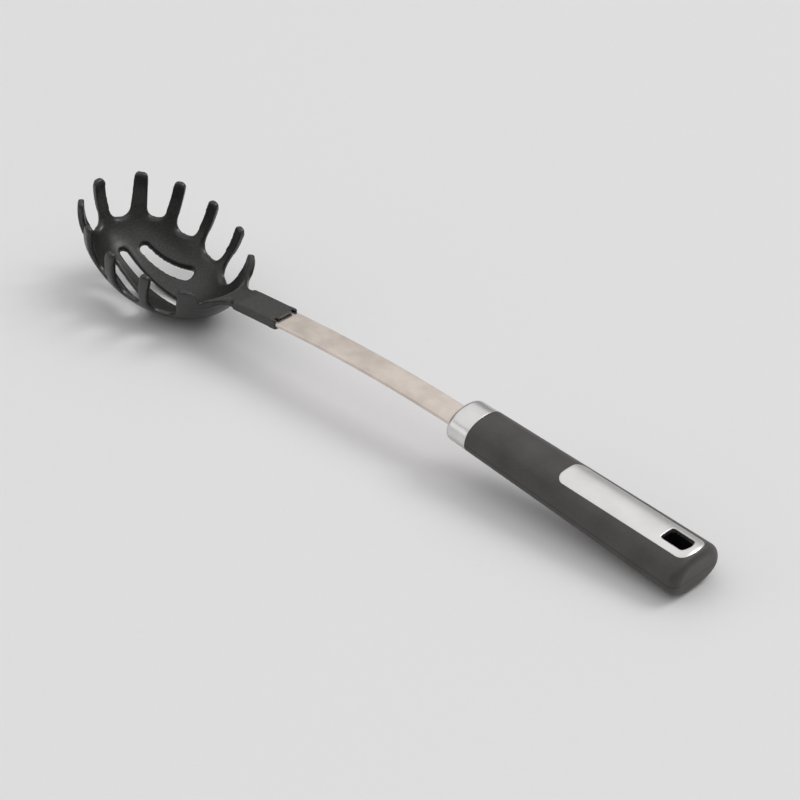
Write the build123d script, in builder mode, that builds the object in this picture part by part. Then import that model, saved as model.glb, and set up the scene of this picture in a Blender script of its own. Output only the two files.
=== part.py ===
"""A pasta server: a nylon bowl ringed with tines, a stainless strip and a soft-grip handle.

Millimetres, +Z up. The tool lies on a table at Z = 0, on the underside of its bowl and of its
butt. X runs from the head to the butt, with the origin under the middle of the tool, and the
tool is the same on both sides of the XZ plane.
"""

from build123d import *
import math
import os

os.makedirs("parts", exist_ok=True)

# Bowl: half of an ellipsoid, tilted so that the tines at its tip stand highest
bowl_half_length = 42.9
bowl_half_width = 29.7
bowl_depth = 33.7
rim_wall = 2.7
floor_wall = 2.0
bowl_tilt = 10.7

# Tines: one on the axis at the tip and five pairs, at these angles round the rim's ellipse
tine_angles = (0, 36.8, 63.1, 87.5, 113.2, 138.3)
tine_height_shares = (0.0, 0.035, 0.040, 0.022, 0.003, -0.045)
tine_width = 4.7
tine_draft = 8.0
tine_tip_radius = 1.9
notch_foot_shares = ((0.55, 0.58), (0.60, 0.60), (1.00, 0.57), (1.15, 0.58), (1.25, 0.58))
foot_round_share = 0.7
notch_depth_shares = (0.525, 0.500, 0.565, 0.615, 0.635)
notch_inner_margin = 3.0
notch_outer_reach = 3.0

# Lowered rim on each side of the neck
wing_top_share = 0.56
wing_foot_share = 0.44
wing_drop_share = 0.27
wing_radius = 4.0

# Drain slots in the bowl's floor: shares of the bowl's half length and half width
centre_slot_width = 3.9
centre_slot_shares = (-0.573, 0.322)
side_slot_low_shares = ((-0.505, 0.222), (-0.180, 0.272), (0.105, 0.381))
side_slot_high_shares = ((-0.505, 0.350), (-0.180, 0.438), (0.093, 0.570))
side_slot_tip_radius = 1.8
side_slot_heel_radius = 2.3

# Neck and socket that hold the strip
head_length = 112.3
neck_drop = 7.2
neck_root_share = 0.785
neck_width = 12.8
neck_depth = 4.3
neck_flare = 7.0
neck_flare_length = 7.5
neck_flare_radius = 8.0
neck_top_drop = 1.2
neck_root_drop = 1.5
neck_edge_radius = 0.8
neck_edge_lean = 5.0
socket_share = 0.66
mouth_recess_width = 10.4
mouth_recess_height = 1.0
mouth_recess_depth = 2.4
tongue_width = 7.4
tongue_height = 0.5
tongue_setback = 0.7

# Strip
strip_width = 11.8
strip_thickness = 1.7
strip_edge_radius = 0.35
strip_rise = 2.6
strip_exposed = 95.5
tang_share = 0.72
tang_corner_radius = 2.0
key_hole_radius = 2.2
socket_key_share = 0.5
tang_key_shares = (0.35, 0.8)

# Ferrule
ferrule_length = 10.7
ferrule_wall = 1.0
ferrule_nose_radius = 2.6
strip_clearance = 0.15

# Handle section: widest plane, crown above it and belly below it, at both ends of the grip
grip_length = 105.4
grip_half_width_front = 10.7
grip_half_width_butt = 13.4
grip_crown_front = 8.4
grip_crown_butt = 9.9
grip_belly_front = 6.6
grip_belly_butt = 8.0
section_fullness_share = 0.61
grip_wall = 2.6
grip_front_radius = 0.4
butt_radius = 3.6
core_end_radius = 2.5

# Inlay plate in the top of the grip, with its hanging hole
inlay_setback = 2.0
inlay_length = 62.1
inlay_width = 14.0
inlay_thickness = 1.8
inlay_front_radius = 3.8
inlay_back_radius = 3.6
inlay_bow = 1.6
hole_setback = 3.0
hole_length = 11.2
hole_width = 7.8
hole_front_radius = 1.0
hole_back_radius = 1.4
hole_bow = 1.3

# One overrun serves all cuts
overrun = 12.0


# Tilted frame of the bowl, whose floor meets the table, and the neck's reach and height from it
tilt = math.radians(bowl_tilt)
bowl_reach = math.hypot(bowl_half_length * math.cos(tilt), bowl_depth * math.sin(tilt))
bowl_z = math.hypot(bowl_half_length * math.sin(tilt), bowl_depth * math.cos(tilt))
root_run = neck_root_share * bowl_half_length
neck_reach = head_length - bowl_reach - root_run
root_height = bowl_z - root_run * math.tan(tilt) - neck_drop
mouth_height = root_height + neck_reach * math.tan(math.radians(strip_rise))
socket_depth = socket_share * neck_reach
tang_length = tang_share * grip_length


def resting_pitch():
    """Pitch of the handle at which the butt's belly comes down to the table."""
    rise = math.radians(strip_rise)
    arc_length = strip_exposed + ferrule_length
    reach = grip_length - butt_radius
    belly = grip_belly_front + (grip_belly_butt - grip_belly_front) * reach / grip_length
    pitch = rise
    for _ in range(30):
        drop = arc_length * (math.cos(pitch) - math.cos(rise)) / (rise + pitch)
        back_height = mouth_height + drop
        pitch = math.asin(back_height / math.hypot(reach, belly)) - math.atan2(belly, reach)
    return math.degrees(pitch)


handle_pitch = resting_pitch()


def along(slope):
    """Unit direction towards the butt that rises by a slope in degrees."""
    return Vector(math.cos(math.radians(slope)), 0, math.sin(math.radians(slope)))


def upright(origin, slope):
    """Plane whose x axis runs along the tool at a slope and whose z axis is its upward normal."""
    return Plane(origin=origin, x_dir=along(slope), z_dir=along(slope + 90))


# The strip's line: straight in the socket, arched between socket and ferrule, straight in the
# handle. It is laid out from the mouth of the socket and then centred on the tool's length.
arc_turn = strip_rise + handle_pitch
arc_radius = (strip_exposed + ferrule_length) / math.radians(arc_turn)
arc_run = arc_radius * (math.sin(math.radians(strip_rise)) + math.sin(math.radians(handle_pitch)))
butt_run = grip_length * math.cos(math.radians(handle_pitch))
butt_lean = (grip_crown_butt - butt_radius) * math.sin(math.radians(handle_pitch))
overall_length = head_length + arc_run + butt_run + butt_lean
tip_x = -overall_length / 2
mouth_point = Vector(tip_x + head_length, 0, mouth_height)
neck_plane = upright(mouth_point, strip_rise)
with BuildLine(Plane.XZ) as strip_line:
    start_point = neck_plane.from_local_coords((-socket_depth, 0, 0))
    socket_run = Line((start_point.X, start_point.Z), (mouth_point.X, mouth_point.Z))
    arch = JernArc(socket_run @ 1, socket_run % 1, arc_radius, -arc_turn)
    tang_run = PolarLine(arch @ 1, tang_length, direction=arch % 1)
arch_end = strip_line.edges().sort_by(Axis.X)[-1] @ 0
handle_plane = upright(arch_end, -handle_pitch)

bowl_x = tip_x + bowl_reach
bowl_place = Location((bowl_x, 0, bowl_z), (0, bowl_tilt, 0))


# Strip with a keying hole in the socket and two in the tang
with BuildPart() as shank:
    with BuildSketch(Plane(origin=start_point, x_dir=(0, 1, 0), z_dir=along(strip_rise))):
        Rectangle(strip_width, strip_thickness)
    sweep(path=strip_line.wire())
    corners = shank.edges().filter_by(lambda e: e.length < 2 * strip_thickness)
    fillet(corners, tang_corner_radius)
    long_edges = shank.edges().filter_by(lambda e: e.length > strip_width)
    fillet(long_edges, strip_edge_radius)
    for share in tang_key_shares:
        key_point = handle_plane.from_local_coords((share * tang_length, 0, 0))
        with BuildSketch(upright(key_point, -handle_pitch)):
            Circle(key_hole_radius)
        extrude(amount=strip_thickness, both=True, mode=Mode.SUBTRACT)
    socket_key = neck_plane.from_local_coords((-socket_key_share * socket_depth, 0, 0))
    with BuildSketch(upright(socket_key, strip_rise)):
        Circle(key_hole_radius)
    extrude(amount=strip_thickness, both=True, mode=Mode.SUBTRACT)


def rim_point(angle):
    """Middle of the rim's wall at an angle round the ellipse, counted from the tip."""
    turn = math.radians(angle)
    half_length = bowl_half_length - rim_wall / 2
    half_width = bowl_half_width - rim_wall / 2
    return Vector(-half_length * math.cos(turn), half_width * math.sin(turn), 0)


def rim_bearing(angle):
    """Bearing in degrees of the rim's outward normal at an angle round the ellipse."""
    turn = math.radians(angle)
    return math.degrees(math.atan2(math.sin(turn) / bowl_half_width, math.cos(turn) / bowl_half_length))


def notch_plane(angle, offset):
    """Upright plane across the rim's wall at an angle, facing outwards and moved by an offset."""
    bearing = math.radians(rim_bearing(angle))
    normal = Vector(-math.cos(bearing), math.sin(bearing), 0)
    origin = rim_point(angle) + normal * offset
    return Plane(origin=origin, x_dir=Vector(0, 0, 1).cross(normal), z_dir=normal)


def notch_outline(mouth, foot, depth, foot_radius, heights, reach):
    """Open-topped notch between two tines, at their heights, from left and right half widths."""
    with BuildSketch() as outline:
        with BuildLine():
            Polyline(
                (-reach, overrun),
                (-reach, heights[0]),
                (-mouth[0], heights[0]),
                (-foot[0], -depth),
                (foot[1], -depth),
                (mouth[1], heights[1]),
                (reach, heights[1]),
                (reach, overrun),
                close=True,
            )
        make_face()
        fillet(outline.vertices().group_by(Axis.Y)[0], foot_radius)
        inner = outline.vertices().filter_by(lambda v: abs(v.X) < reach - tine_tip_radius)
        fillet(inner.sort_by(Axis.Y)[-2:], tine_tip_radius)
    return outline.sketch


def notch_cutter(first, second, depth, foot_shares, side):
    """Cut between two tines, whose sides follow the tines' own bearings and a draft."""
    middle = side * (first[0] + second[0]) / 2
    pair = (second, first)[::side]
    shares = foot_shares[::-side]
    heights = [height for _, height in pair]
    slopes = [
        math.tan(math.radians(abs(rim_bearing(side * angle) - rim_bearing(middle)) + tine_draft))
        for angle, _ in pair
    ]
    half_mouth = ((rim_point(second[0]) - rim_point(first[0])).length - tine_width) / 2
    sunk = rim_point(middle).length * (1 - math.sqrt(1 - (depth / bowl_depth) ** 2))
    with BuildPart() as cutter:
        for offset in (-sunk - notch_inner_margin, notch_outer_reach):
            mouth = [half_mouth + slope * offset for slope in slopes]
            foot = [
                share * half_mouth + slope * (offset + sunk) for share, slope in zip(shares, slopes)
            ]
            foot_radius = foot_round_share * sum(foot) / 2
            reach = 2 * half_mouth + tine_width
            with BuildSketch(notch_plane(middle, offset)):
                add(notch_outline(mouth, foot, depth, foot_radius, heights, reach))
        loft(ruled=True)
    return cutter.part


def side_slot_outline(side):
    """Bowed drain slot, narrow towards the tip of the bowl, on one side of its axis."""
    low, high = (
        [(bowl_half_length * x, side * bowl_half_width * y) for x, y in shares]
        for shares in (side_slot_low_shares, side_slot_high_shares)
    )
    with BuildSketch() as outline:
        with BuildLine():
            ThreePointArc(*low)
            Line(low[2], high[2])
            ThreePointArc(*high)
            Line(high[0], low[0])
        make_face()
        fillet(outline.vertices().sort_by(Axis.X)[:2], side_slot_tip_radius)
        fillet(outline.vertices().sort_by(Axis.X)[-2:], side_slot_heel_radius)
    return outline.sketch


# Bowl, in its own level frame, with the rim's plane at Z = 0
with BuildPart() as bowl_outside:
    Sphere(1)
    scale(by=(bowl_half_length, bowl_half_width, bowl_depth))
with BuildPart() as bowl_inside:
    Sphere(1)
    scale(by=(bowl_half_length - rim_wall, bowl_half_width - rim_wall, bowl_depth - floor_wall))
with BuildPart() as bowl:
    add(bowl_outside.part)
    add(bowl_inside.part, mode=Mode.SUBTRACT)
    top = max(tine_height_shares) * bowl_depth + tine_tip_radius
    with BuildSketch(Plane.XY.offset(top)):
        Rectangle(2 * bowl_half_length + overrun, 2 * bowl_half_width + overrun)
    extrude(amount=bowl_depth + overrun, mode=Mode.SUBTRACT)
    tines = [(angle, share * bowl_depth) for angle, share in zip(tine_angles, tine_height_shares)]
    notches = zip(tines, tines[1:], notch_depth_shares, notch_foot_shares)
    for first, second, share, foot_shares in notches:
        for side in (1, -1):
            cutter = notch_cutter(first, second, share * bowl_depth, foot_shares, side)
            add(cutter, mode=Mode.SUBTRACT)
    with BuildSketch(Plane(origin=(bowl_half_length, 0, 0), x_dir=(0, 1, 0), z_dir=(1, 0, 0))):
        add(
            notch_outline(
                [wing_top_share * bowl_half_width] * 2,
                [wing_foot_share * bowl_half_width] * 2,
                wing_drop_share * bowl_depth,
                wing_radius,
                [tines[-1][1]] * 2,
                bowl_half_width,
            )
        )
    extrude(amount=overrun, both=True, mode=Mode.SUBTRACT)
    slot_ends = [bowl_half_length * share for share in centre_slot_shares]
    with BuildSketch():
        with Locations(((slot_ends[0] + slot_ends[1]) / 2, 0)):
            SlotOverall(slot_ends[1] - slot_ends[0], centre_slot_width)
        add(side_slot_outline(1))
        add(side_slot_outline(-1))
    extrude(amount=-bowl_depth - overrun, mode=Mode.SUBTRACT)


# Neck: a flat bar round the strip's end, which flares and deepens where it meets the bowl
with BuildPart() as neck:
    half_width = neck_width / 2
    half_depth = neck_depth / 2
    flare_end = -neck_reach + neck_flare_length
    root_half_width = half_width + neck_flare
    with BuildSketch(neck_plane):
        with BuildLine():
            Polyline(
                (-neck_reach, root_half_width),
                (flare_end, half_width),
                (0, half_width),
                (0, -half_width),
                (flare_end, -half_width),
                (-neck_reach, -root_half_width),
                close=True,
            )
        make_face()
    extrude(amount=neck_depth + neck_root_drop, both=True)
    upright_edges = neck.edges().filter_by(Axis.Z, tolerance=neck_edge_lean)
    fillet(upright_edges.group_by(Axis.X)[1], neck_flare_radius)
    with BuildSketch(Plane(origin=mouth_point, x_dir=along(strip_rise), z_dir=(0, -1, 0))):
        with BuildLine():
            Polyline(
                (0, half_depth),
                (-neck_reach + 2 * neck_flare_length, half_depth),
                (-neck_reach, half_depth - neck_top_drop),
                (-neck_reach, -half_depth - neck_root_drop),
                (flare_end, -half_depth),
                (0, -half_depth),
                close=True,
            )
        make_face()
    extrude(amount=root_half_width, both=True, mode=Mode.INTERSECT)
    mouth_edges = neck.faces().sort_by(Axis.X)[-1].edges()
    fillet(mouth_edges.filter_by(Axis.Z, tolerance=neck_edge_lean), neck_edge_radius)

# Head: bowl and neck moulded as one, with the strip's socket and its recessed mouth
with BuildPart() as head:
    with Locations(bowl_place):
        add(bowl.part)
    add(neck.part)
    with Locations(bowl_place):
        add(bowl_inside.part, mode=Mode.SUBTRACT)
    recess_middle = strip_thickness / 2 + mouth_recess_height / 2
    with BuildSketch(Plane(origin=mouth_point, x_dir=(0, 1, 0), z_dir=along(strip_rise))):
        with Locations((0, recess_middle)):
            Rectangle(mouth_recess_width, mouth_recess_height)
    extrude(amount=-mouth_recess_depth, mode=Mode.SUBTRACT)
    tongue_plane = neck_plane.offset(strip_thickness / 2 + tongue_height / 2)
    with BuildSketch(tongue_plane):
        tongue_middle = -(tongue_setback + mouth_recess_depth) / 2
        with Locations((tongue_middle, 0)):
            Rectangle(mouth_recess_depth - tongue_setback, tongue_width)
    extrude(amount=tongue_height / 2, both=True)
    add(shank.part, mode=Mode.SUBTRACT)


def grown(front, butt, station):
    """Size at a station along the handle, growing evenly from the grip's front to its butt."""
    return front + (butt - front) * station / grip_length


def handle_blank(first, last, inset, end_radius, nose_radius):
    """Solid of the handle's section between two stations, drawn in by an inset."""
    with BuildPart() as blank:
        for station in (first, last):
            across = grown(grip_half_width_front, grip_half_width_butt, station) - inset
            crown = grown(grip_crown_front, grip_crown_butt, station) - inset
            belly = grown(grip_belly_front, grip_belly_butt, station) - inset
            full = section_fullness_share
            centre = handle_plane.from_local_coords((station, 0, 0))
            with BuildSketch(Plane(origin=centre, x_dir=(0, 1, 0), z_dir=along(-handle_pitch))):
                with BuildLine():
                    for side in (1, -1):
                        for height in (crown, -belly):
                            Bezier(
                                (side * across, 0),
                                (side * across, full * height),
                                (side * full * across, height),
                                (0, height),
                            )
                make_face()
        loft()
        if end_radius:
            fillet(blank.faces().sort_by(Axis.X)[-1].edges(), end_radius)
        if nose_radius:
            fillet(blank.faces().sort_by(Axis.X)[0].edges(), nose_radius)
    return blank.part


def bowed_outline(front, back, width, bow, front_radius, back_radius):
    """Plan of a slot along the handle with a square front and a bowed back end."""
    with BuildSketch(handle_plane) as outline:
        with BuildLine():
            Polyline(
                (back - bow, width / 2),
                (front, width / 2),
                (front, -width / 2),
                (back - bow, -width / 2),
            )
            ThreePointArc((back - bow, -width / 2), (back, 0), (back - bow, width / 2))
        make_face()
        corners = outline.vertices().group_by(Axis.X)
        fillet(corners[0], front_radius)
        fillet(outline.vertices().group_by(Axis.X)[-1], back_radius)
    return outline.sketch


grip_blank = handle_blank(0, grip_length, 0, butt_radius, grip_front_radius)
seat_blank = handle_blank(0, grip_length, inlay_thickness, 0, 0)
core_blank = handle_blank(0, grip_length - grip_wall, grip_wall, core_end_radius, 0)
inlay_back = grip_length - inlay_setback
inlay_front = inlay_back - inlay_length
inlay_plan = bowed_outline(
    inlay_front, inlay_back, inlay_width, inlay_bow, inlay_front_radius, inlay_back_radius
)
hole_back = inlay_back - hole_setback
hole_plan = bowed_outline(
    hole_back - hole_length, hole_back, hole_width, hole_bow, hole_front_radius, hole_back_radius
)
handle_height = grip_crown_butt + grip_belly_butt

# Inlay: a plate that follows the grip's crown
with BuildPart() as inlay_blank:
    add(grip_blank)
    extrude(inlay_plan, amount=handle_height, mode=Mode.INTERSECT)
    add(seat_blank, mode=Mode.SUBTRACT)
with BuildPart() as inlay:
    add(inlay_blank.part)
    extrude(hole_plan, amount=handle_height, mode=Mode.SUBTRACT)

# Land of the core that carries the inlay
with BuildPart() as land:
    add(seat_blank)
    extrude(inlay_plan, amount=handle_height, mode=Mode.INTERSECT)

# Core: fills the ferrule, grips the tang and carries the soft grip
nose_start = -ferrule_length + ferrule_wall + strip_clearance
nose_inset = ferrule_wall + strip_clearance
with BuildPart() as handle_core:
    add(core_blank)
    add(land.part)
    add(handle_blank(nose_start, 0, nose_inset, 0, ferrule_nose_radius - ferrule_wall))
    extrude(hole_plan, amount=handle_height, both=True, mode=Mode.SUBTRACT)
    add(shank.part, mode=Mode.SUBTRACT)

# Grip: soft skin moulded round the core, open where the inlay lies
with BuildPart() as grip:
    add(grip_blank)
    add(inlay_blank.part, mode=Mode.SUBTRACT)
    add(core_blank, mode=Mode.SUBTRACT)
    add(land.part, mode=Mode.SUBTRACT)
    extrude(hole_plan, amount=handle_height, both=True, mode=Mode.SUBTRACT)

# Ferrule: a ring with a front wall that the strip passes through
with BuildPart() as ferrule:
    add(handle_blank(-ferrule_length, 0, 0, 0, ferrule_nose_radius))
    add(
        handle_blank(
            -ferrule_length + ferrule_wall, 0, ferrule_wall, 0, ferrule_nose_radius - ferrule_wall
        ),
        mode=Mode.SUBTRACT,
    )
    window_centre = handle_plane.from_local_coords((-ferrule_length, 0, 0))
    with BuildSketch(Plane(origin=window_centre, x_dir=(0, 1, 0), z_dir=along(-handle_pitch))):
        Rectangle(strip_width + 2 * strip_clearance, strip_thickness + 2 * strip_clearance)
    extrude(amount=2 * ferrule_wall, both=True, mode=Mode.SUBTRACT)


pieces = {
    "head": head,
    "shank": shank,
    "ferrule": ferrule,
    "handle_core": handle_core,
    "grip": grip,
    "inlay": inlay,
}
for label, piece in pieces.items():
    piece.part.label = label
    export_step(piece.part, f"parts/{label}.step")
print(f"pitch {handle_pitch:.2f} degrees, overall length {overall_length:.1f} mm")
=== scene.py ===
import math

import bmesh
import bpy
from mathutils import Matrix, Vector


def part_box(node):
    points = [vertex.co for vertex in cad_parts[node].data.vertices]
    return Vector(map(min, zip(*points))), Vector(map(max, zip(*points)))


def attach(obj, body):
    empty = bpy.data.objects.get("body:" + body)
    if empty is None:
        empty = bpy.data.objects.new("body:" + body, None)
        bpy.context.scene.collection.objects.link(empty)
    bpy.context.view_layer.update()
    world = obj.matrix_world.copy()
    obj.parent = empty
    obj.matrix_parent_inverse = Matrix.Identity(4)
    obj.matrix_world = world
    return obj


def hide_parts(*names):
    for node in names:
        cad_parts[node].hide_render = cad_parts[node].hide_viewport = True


MM = 0.001


# Camera

camera = bpy.data.objects.new("camera", bpy.data.cameras.new("camera"))
bpy.context.scene.collection.objects.link(camera)
bpy.context.scene.camera = camera
camera.data.sensor_width = 36
camera.data.lens = 138.4
camera.data.clip_end = 10
# Place in mm and angles of the view, solved from the photograph
heading = math.radians(44.18)
drop = math.radians(33.87)
camera_place = Vector((696.7, -703.8, 671.9)) * MM
right = Vector((math.cos(heading), math.sin(heading), 0))
ahead = Vector(
    (
        -math.sin(heading) * math.cos(drop),
        math.cos(heading) * math.cos(drop),
        -math.sin(drop),
    )
)
above = right.cross(ahead)
turn = Matrix((right, above, -ahead)).transposed().to_4x4()
camera.matrix_world = Matrix.Translation(camera_place) @ turn

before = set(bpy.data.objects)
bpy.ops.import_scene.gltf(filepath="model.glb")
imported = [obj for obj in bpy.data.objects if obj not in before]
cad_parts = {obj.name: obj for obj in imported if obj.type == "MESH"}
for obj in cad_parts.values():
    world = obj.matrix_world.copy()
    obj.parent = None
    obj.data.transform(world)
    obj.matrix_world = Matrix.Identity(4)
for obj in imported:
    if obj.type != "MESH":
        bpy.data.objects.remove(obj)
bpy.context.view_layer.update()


# Materials

# The Mix node's colour sockets share their names with its other kinds, so they go by number
MIX_SHARE = 0
MIX_LOW = 6
MIX_HIGH = 7
MIX_COLOUR = 2

# Brush lines run along the tool or round it: the noise is drawn out twentyfold that way
BRUSHED_ALONG = (0.05, 1, 1)
BRUSHED_ROUND = (1, 0.05, 0.05)

# The plane where the halves of the grip's mould meet, and half the width of its line, in mm
PARTING_UP = (0.1073, 0.0, 0.9942)
PARTING_HEIGHT = 24.6
PARTING_HALF_WIDTH = 0.2

# Rays per shading point that round the CAD edges in the light
EDGE_SAMPLES = 6


def linear(code):
    """Linear colour from an sRGB hex value, by the sRGB curve."""
    shares = [int(code[i : i + 2], 16) / 255 for i in (1, 3, 5)]
    return [s / 12.92 if s < 0.04045 else ((s + 0.055) / 1.055) ** 2.4 for s in shares] + [1]


def add_node(tree, kind, settings=None, links=None):
    """Node with its settings, and its inputs set to values or linked to other nodes' outputs."""
    node = tree.nodes.new(kind)
    for name, value in (settings or {}).items():
        setattr(node, name, value)
    for name, value in (links or {}).items():
        if isinstance(value, bpy.types.NodeSocket):
            tree.links.new(value, node.inputs[name])
        else:
            node.inputs[name].default_value = value
    return node


def new_material(name):
    """Empty material and its Principled shader."""
    material = bpy.data.materials.new(name)
    material.use_nodes = True
    tree = material.node_tree
    tree.nodes.clear()
    shader = add_node(tree, "ShaderNodeBsdfPrincipled")
    output = add_node(tree, "ShaderNodeOutputMaterial")
    tree.links.new(shader.outputs["BSDF"], output.inputs["Surface"])
    return material, tree, shader


def place_in_mm(tree):
    """Object coordinates in millimetres."""
    where = add_node(tree, "ShaderNodeTexCoord")
    scale = add_node(
        tree,
        "ShaderNodeVectorMath",
        {"operation": "SCALE"},
        {"Vector": where.outputs["Object"], "Scale": 1 / MM},
    )
    return scale.outputs["Vector"]


def moulded_nylon():
    """Glass-filled nylon from a spark-eroded mould: near black, with a fine pebbled matte skin."""
    material, tree, shader = new_material("moulded_nylon")
    spot = place_in_mm(tree)
    # Spark-eroded grain is about 0.15 mm, drawn at 0.45 mm so that its pale specks show
    grain = add_node(
        tree,
        "ShaderNodeTexNoise",
        links={"Vector": spot, "Scale": 1 / 0.45, "Detail": 2.0, "Roughness": 0.6},
    )
    specks = add_node(
        tree,
        "ShaderNodeMapRange",
        links={"Value": grain.outputs["Fac"], "From Min": 0.42, "From Max": 0.75},
    )
    colour = add_node(
        tree,
        "ShaderNodeMix",
        {"data_type": "RGBA"},
        {
            MIX_SHARE: specks.outputs["Result"],
            MIX_LOW: linear("#060606"),
            MIX_HIGH: linear("#403F3B"),
        },
    )
    tree.links.new(colour.outputs[MIX_COLOUR], shader.inputs["Base Color"])
    # Handling polishes broad patches a little, so the sheen drifts over 18 mm
    clouds = add_node(
        tree,
        "ShaderNodeTexNoise",
        links={"Vector": spot, "Scale": 1 / 18, "Detail": 3.0},
    )
    rough = add_node(
        tree,
        "ShaderNodeMapRange",
        links={"Value": clouds.outputs["Fac"], "To Min": 0.28, "To Max": 0.37},
    )
    tree.links.new(rough.outputs["Result"], shader.inputs["Roughness"])
    bump = add_node(
        tree,
        "ShaderNodeBump",
        links={"Height": grain.outputs["Fac"], "Strength": 0.3, "Distance": 0.12 * MM},
    )
    tree.links.new(bump.outputs["Normal"], shader.inputs["Normal"])
    shader.inputs["IOR"].default_value = 1.6
    return material


def soft_rubber():
    """Thermoplastic rubber skin, moulded: dark warm grey, dull, with faint mottling and dust."""
    material, tree, shader = new_material("soft_rubber")
    spot = place_in_mm(tree)
    # Soft-touch grain is about 0.1 mm, drawn at 0.5 mm so that it shows
    grain = add_node(
        tree,
        "ShaderNodeTexNoise",
        links={"Vector": spot, "Scale": 1 / 0.5, "Detail": 3.0, "Roughness": 0.65},
    )
    # Dust and wear mottle it in patches of about 14 mm
    clouds = add_node(
        tree,
        "ShaderNodeTexNoise",
        links={"Vector": spot, "Scale": 1 / 14, "Detail": 4.0},
    )
    both = add_node(
        tree,
        "ShaderNodeMath",
        {"operation": "MULTIPLY_ADD"},
        {0: grain.outputs["Fac"], 1: 0.6, 2: clouds.outputs["Fac"]},
    )
    share = add_node(
        tree,
        "ShaderNodeMapRange",
        links={"Value": both.outputs["Value"], "From Min": 0.5, "From Max": 1.1},
    )
    skin = add_node(
        tree,
        "ShaderNodeMix",
        {"data_type": "RGBA"},
        {
            MIX_SHARE: share.outputs["Result"],
            MIX_LOW: linear("#33312E"),
            MIX_HIGH: linear("#4B4945"),
        },
    )
    # Flash where the mould's halves meet: a thin dark line round the grip
    height = add_node(
        tree,
        "ShaderNodeVectorMath",
        {"operation": "DOT_PRODUCT"},
        {0: spot, 1: PARTING_UP},
    )
    line = add_node(
        tree,
        "ShaderNodeMath",
        {"operation": "COMPARE"},
        {0: height.outputs["Value"], 1: PARTING_HEIGHT, 2: PARTING_HALF_WIDTH},
    )
    colour = add_node(
        tree,
        "ShaderNodeMix",
        {"data_type": "RGBA"},
        {
            MIX_SHARE: line.outputs["Value"],
            MIX_LOW: skin.outputs[MIX_COLOUR],
            MIX_HIGH: linear("#1A1918"),
        },
    )
    tree.links.new(colour.outputs[MIX_COLOUR], shader.inputs["Base Color"])
    edges = add_node(tree, "ShaderNodeBevel", {"samples": EDGE_SAMPLES}, {"Radius": 0.4 * MM})
    bump = add_node(
        tree,
        "ShaderNodeBump",
        links={
            "Height": grain.outputs["Fac"],
            "Strength": 0.2,
            "Distance": 0.08 * MM,
            "Normal": edges.outputs["Normal"],
        },
    )
    tree.links.new(bump.outputs["Normal"], shader.inputs["Normal"])
    shader.inputs["Roughness"].default_value = 0.44
    shader.inputs["IOR"].default_value = 1.5
    return material


def satin_steel(name, light, dark, roughness, brushing, edge_radius):
    """Stainless steel, satin brushed: pale grey, with fine lines along the brushing and soft edges."""
    material, tree, shader = new_material(name)
    spot = place_in_mm(tree)
    lie = add_node(tree, "ShaderNodeMapping", links={"Vector": spot, "Scale": brushing})
    # Brush lines are about 0.05 mm apart, drawn at 0.3 mm so that they show
    lines = add_node(
        tree,
        "ShaderNodeTexNoise",
        links={
            "Vector": lie.outputs["Vector"],
            "Scale": 1 / 0.3,
            "Detail": 3.0,
            "Roughness": 0.6,
        },
    )
    # Finger marks and rolling leave faint patches about 9 mm across
    clouds = add_node(
        tree,
        "ShaderNodeTexNoise",
        links={"Vector": spot, "Scale": 1 / 9, "Detail": 3.0},
    )
    share = add_node(
        tree,
        "ShaderNodeMapRange",
        links={"Value": clouds.outputs["Fac"], "From Min": 0.35, "From Max": 0.65},
    )
    colour = add_node(
        tree,
        "ShaderNodeMix",
        {"data_type": "RGBA"},
        {
            MIX_SHARE: share.outputs["Result"],
            MIX_LOW: linear(dark),
            MIX_HIGH: linear(light),
        },
    )
    tree.links.new(colour.outputs[MIX_COLOUR], shader.inputs["Base Color"])
    # Brushed lines are duller and shinier by turns
    rough = add_node(
        tree,
        "ShaderNodeMapRange",
        links={
            "Value": lines.outputs["Fac"],
            "To Min": roughness - 0.05,
            "To Max": roughness + 0.07,
        },
    )
    tree.links.new(rough.outputs["Result"], shader.inputs["Roughness"])
    edges = add_node(
        tree,
        "ShaderNodeBevel",
        {"samples": EDGE_SAMPLES},
        {"Radius": edge_radius * MM},
    )
    bump = add_node(
        tree,
        "ShaderNodeBump",
        links={
            "Height": lines.outputs["Fac"],
            "Strength": 0.08,
            "Distance": 0.03 * MM,
            "Normal": edges.outputs["Normal"],
        },
    )
    tree.links.new(bump.outputs["Normal"], shader.inputs["Normal"])
    shader.inputs["Metallic"].default_value = 1.0
    return material


def moulded_core():
    """Polypropylene core, moulded: plain black, seen only inside the hanging hole."""
    material, tree, shader = new_material("moulded_core")
    spot = place_in_mm(tree)
    clouds = add_node(
        tree,
        "ShaderNodeTexNoise",
        links={"Vector": spot, "Scale": 1 / 5, "Detail": 2.0},
    )
    colour = add_node(
        tree,
        "ShaderNodeMix",
        {"data_type": "RGBA"},
        {
            MIX_SHARE: clouds.outputs["Fac"],
            MIX_LOW: linear("#0A0A0A"),
            MIX_HIGH: linear("#121212"),
        },
    )
    tree.links.new(colour.outputs[MIX_COLOUR], shader.inputs["Base Color"])
    shader.inputs["Roughness"].default_value = 0.45
    return material


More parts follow.
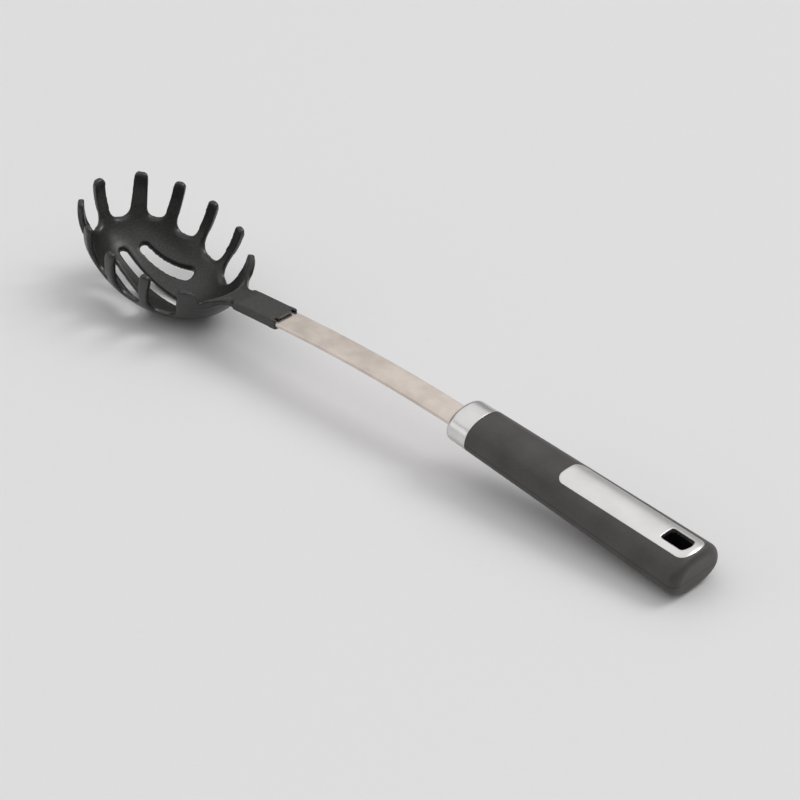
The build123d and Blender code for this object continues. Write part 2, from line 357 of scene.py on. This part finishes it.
def paper_floor():
    """Seamless backdrop paper, matte and pale, with a trace of sheen at a low angle."""
    material, tree, shader = new_material("paper_floor")
    spot = place_in_mm(tree)
    # Paper fibre is under 0.1 mm wide, drawn at 3 mm and barely paler or darker
    fibres = add_node(
        tree,
        "ShaderNodeTexNoise",
        links={"Vector": spot, "Scale": 1 / 3, "Detail": 2.0},
    )
    colour = add_node(
        tree,
        "ShaderNodeMix",
        {"data_type": "RGBA"},
        {
            MIX_SHARE: fibres.outputs["Fac"],
            MIX_LOW: linear("#E5E4E5"),
            MIX_HIGH: linear("#E7E6E7"),
        },
    )
    tree.links.new(colour.outputs[MIX_COLOUR], shader.inputs["Base Color"])
    shader.inputs["Roughness"].default_value = 0.6
    return material


def dress(piece, material):
    """Gives a piece one material."""
    piece.data.materials.clear()
    piece.data.materials.append(material)


# Head

# The neck's mouth and rise
MOUTH_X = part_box("head")[1][0]
NECK_RISE = math.radians(2.6)

# The plane of the bowl's rim, level with the tines' ends: its centre in mm and its normal
RIM_CENTRE = Vector((-119.29, 0, 34.06))
RIM_UP = Vector((0.1857, 0, 0.9826))

# The stretch where the bowl rolls over into the neck
ROLL_FROM = -87 * MM
ROLL_TO = -74 * MM
ROLL_HALF_WIDTH = 15 * MM
ROLL_FLOOR = 17.5 * MM

# Heights over the rim's plane in mm: tine ends lie above the first, notch feet between the rest
TINE_ENDS_ABOVE = -2.2
FEET_ABOVE = -23
FEET_BELOW = -13

# The mouth's end of the neck keeps a crisp recess
MOUTH_DEPTH = 4 * MM

# At 0.4 mm the skin has over 200,000 triangles, past which its STL file is thinned
VOXEL = 0.45 * MM

# The CAD mesh is loose triangles, which are joined where their corners meet
WELD = 0.001 * MM

# Rounds of smoothing, and how far each moves a vertex towards its neighbours' middle
EDGE_ROUNDS = 6
MOUTH_ROUNDS = 2
ROLL_ROUNDS = 60
TINE_ROUNDS = 8
FEET_ROUNDS = 16
FULL_PULL = 0.5
MOUTH_PULL = 0.4


def tilt(shape, angle):
    """Turns a shape about the line across the tool through the origin."""
    bmesh.ops.rotate(shape, verts=shape.verts, matrix=Matrix.Rotation(angle, 3, "Y"))


def soften(shape, verts, pull, rounds):
    """Smooths some of a shape's vertices over and over."""
    for _ in range(rounds):
        bmesh.ops.smooth_vert(
            shape,
            verts=verts,
            factor=pull,
            use_axis_x=True,
            use_axis_y=True,
            use_axis_z=True,
        )


def height_over_rim(vert):
    """Signed distance of a vertex from the plane of the bowl's rim, in millimetres."""
    return (vert.co / MM - RIM_CENTRE).dot(RIM_UP)


def revoxeled(shape, name):
    """Object whose closed skin of even voxels follows a shape."""
    mesh = bpy.data.meshes.new(name)
    shape.to_mesh(mesh)
    piece = bpy.data.objects.new(name, mesh)
    bpy.context.scene.collection.objects.link(piece)
    remesh = piece.modifiers.new("remesh", "REMESH")
    remesh.mode = "VOXEL"
    remesh.voxel_size = VOXEL
    seen = piece.evaluated_get(bpy.context.evaluated_depsgraph_get())
    finished = bpy.data.meshes.new_from_object(seen)
    piece.modifiers.clear()
    piece.data = finished
    finished.name = name
    return piece


def moulded_head():
    """Closed copy of the CAD head, whose edges are rounded as a mould rounds them."""
    shell = bmesh.new()
    shell.from_mesh(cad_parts["head"].data)
    bmesh.ops.remove_doubles(shell, verts=shell.verts, dist=WELD)
    # Voxels lie square to the neck, so that its long edges come out straight
    tilt(shell, NECK_RISE)
    piece = revoxeled(shell, "head_moulding")
    shell.free()

    skin = bmesh.new()
    skin.from_mesh(piece.data)
    tilt(skin, -NECK_RISE)
    crisp = [v for v in skin.verts if v.co.x > MOUTH_X - MOUTH_DEPTH]
    soft = [v for v in skin.verts if v.co.x <= MOUTH_X - MOUTH_DEPTH]
    soften(skin, soft, FULL_PULL, EDGE_ROUNDS)
    soften(skin, crisp, MOUTH_PULL, MOUTH_ROUNDS)
    # The bowl rolls over into the neck's flat top, and each tine ends in a dome
    roll = [
        v
        for v in skin.verts
        if ROLL_FROM < v.co.x < ROLL_TO
        and abs(v.co.y) < ROLL_HALF_WIDTH
        and v.co.z > ROLL_FLOOR
    ]
    soften(skin, roll, FULL_PULL, ROLL_ROUNDS)
    domes = [
        v for v in skin.verts if v.co.x < ROLL_FROM and height_over_rim(v) > TINE_ENDS_ABOVE
    ]
    soften(skin, domes, FULL_PULL, TINE_ROUNDS)
    # Wide mould radii run round the feet of the notches
    feet = [
        v
        for v in skin.verts
        if v.co.x < ROLL_FROM and FEET_ABOVE < height_over_rim(v) < FEET_BELOW
    ]
    soften(skin, feet, FULL_PULL, FEET_ROUNDS)
    skin.to_mesh(piece.data)
    skin.free()
    piece.data.shade_smooth()
    return piece


head = moulded_head()
dress(head, moulded_nylon())
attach(head, "root")
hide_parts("head")


# The other pieces are the CAD's own, and are dressed here

skins = {
    # The strip's warm colours are a painted reflection of warm studio surroundings, since the lamps
    # and world here are white
    "shank": satin_steel("strip_steel_painted_warm", "#E1D6CC", "#CFC4BA", 0.32, BRUSHED_ALONG, 0.3),
    "ferrule": satin_steel("ferrule_steel", "#E2E1DF", "#D8D7D6", 0.28, BRUSHED_ROUND, 0.4),
    "grip": soft_rubber(),
    "inlay": satin_steel("inlay_steel", "#E6E5E3", "#DFDEDC", 0.36, BRUSHED_ALONG, 0.7),
    "handle_core": moulded_core(),
}
for node, material in skins.items():
    dress(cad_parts[node], material)


# Floor, backdrop and light

FLOOR_HALF_WIDTH = 4

sheet = bmesh.new()
bmesh.ops.create_grid(sheet, x_segments=1, y_segments=1, size=FLOOR_HALF_WIDTH)
floor_mesh = bpy.data.meshes.new("floor")
sheet.to_mesh(floor_mesh)
sheet.free()
floor = bpy.data.objects.new("floor", floor_mesh)
bpy.context.scene.collection.objects.link(floor)
dress(floor, paper_floor())


def softbox(name, place, target, width, depth, watts):
    """Rectangular area lamp that faces a target."""
    data = bpy.data.lights.new(name, "AREA")
    data.shape = "RECTANGLE"
    data.size = width
    data.size_y = depth
    data.energy = watts
    lamp = bpy.data.objects.new(name, data)
    bpy.context.scene.collection.objects.link(lamp)
    lamp.location = place
    lamp.rotation_euler = (Vector(target) - Vector(place)).to_track_quat("-Z", "Y").to_euler()


# A broad ceiling box gives soft even light, a smaller key box gives the bowl its highlight, and
# a low fill lifts the sides that face it
softbox("ceiling_softbox", (-1.0, 2.0, 6.0), (-1.0, 2.0, 0), 16, 16, 490)
softbox("key_softbox", (2.6, 4.6, 6.2), (0, 0, 0), 3.5, 3.5, 180)
softbox("fill_softbox", (-5.0, -6.0, 2.5), (0, 0, 0), 6, 4, 60)

world = bpy.data.worlds.new("studio")
bpy.context.scene.world = world
world.use_nodes = True
background = world.node_tree.nodes["Background"]
background.inputs["Color"].default_value = linear("#FFFFFF")
background.inputs["Strength"].default_value = 0.3

bpy.context.scene.view_settings.view_transform = "Standard"
